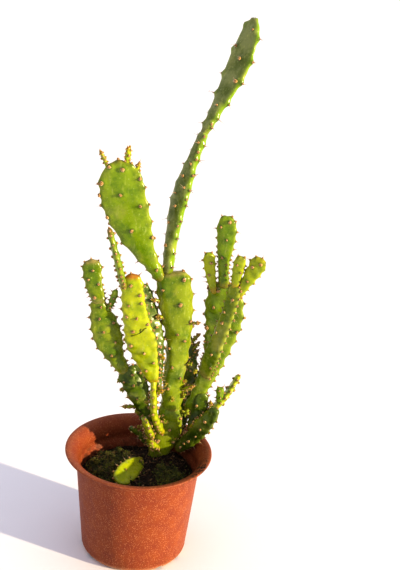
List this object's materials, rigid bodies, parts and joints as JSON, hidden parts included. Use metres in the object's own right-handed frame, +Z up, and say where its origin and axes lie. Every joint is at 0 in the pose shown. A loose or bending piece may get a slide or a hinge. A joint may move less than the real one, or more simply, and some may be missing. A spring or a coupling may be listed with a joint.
{
  "type": "potted cactus",
  "caption": "Young branching paddle cactus with flattened jointed pads, growing in soil in a round, flared terracotta-coloured plastic nursery pot.",
  "frame": {"origin": "centre of the pot's base, on the surface it stands on", "axes": "+Z up, -Y towards the front, the side the bright front pad leans to; +X to the right seen from the front"},
  "size_m": [0.1616, 0.1583, 0.469],
  "materials": {
    "terracotta_plastic": "moulded terracotta-coloured plastic, satin, with pale specks",
    "potting_soil": "dark peaty potting soil, rough, with fibres and crumbs",
    "moss": "short olive moss, rough",
    "skin_bright": "waxy yellow-green skin of young, sunlit pads",
    "skin_fresh": "waxy fresh green skin with fine pale flecks",
    "skin_leaf": "waxy leaf-green skin with fine pale flecks",
    "skin_deep": "waxy dark green skin of shaded pads",
    "skin_dull": "waxy grey-green skin with a dull bloom"
  },
  "bodies": {
    "root": {"pot": "terracotta_plastic", "soil": "potting_soil", "moss_left": "moss", "moss_right": "moss", "front_stem_pad": "skin_bright", "front_bright_pad": "skin_bright", "right_tip_pad_inner": "skin_bright", "right_tip_pad_middle": "skin_bright", "right_tip_pad_outer": "skin_bright", "low_bright_pad": "skin_bright", "ground_pad": "skin_bright", "knobbly_lower_pad": "skin_bright", "knobbly_upper_pad": "skin_bright", "crown_bud_left": "skin_bright", "crown_bud_middle": "skin_bright", "crown_bud_right": "skin_bright", "trunk_bud_left": "skin_bright", "trunk_bud_lower": "skin_bright", "trunk_bud_right": "skin_bright", "rear_bud_upper": "skin_bright", "rear_bud_lower": "skin_bright", "dried_bud": "skin_bright", "toothed_bud": "skin_bright", "shaded_bud": "skin_bright", "stem_bud_lower": "skin_bright", "stem_bud_upper": "skin_bright", "low_bud": "skin_bright", "lower_trunk": "skin_fresh", "upper_trunk": "skin_fresh", "left_lower_pad": "skin_fresh", "left_upper_pad": "skin_fresh", "right_narrow_pad": "skin_fresh", "crown_left_pad": "skin_leaf", "left_side_pad": "skin_leaf", "slender_top_pad": "skin_leaf", "right_broad_pad": "skin_leaf", "right_top_pad": "skin_leaf", "low_side_pad": "skin_leaf", "shaded_left_pad": "skin_deep", "shaded_side_pad": "skin_deep", "front_back_pad": "skin_deep", "rear_stem_pad": "skin_deep", "low_dark_pad": "skin_deep", "low_back_pad": "skin_deep", "upper_finger": "skin_deep", "lower_finger": "skin_deep", "tall_lower_pad": "skin_dull", "tall_upper_pad": "skin_dull"}
  },
  "joints": []
}
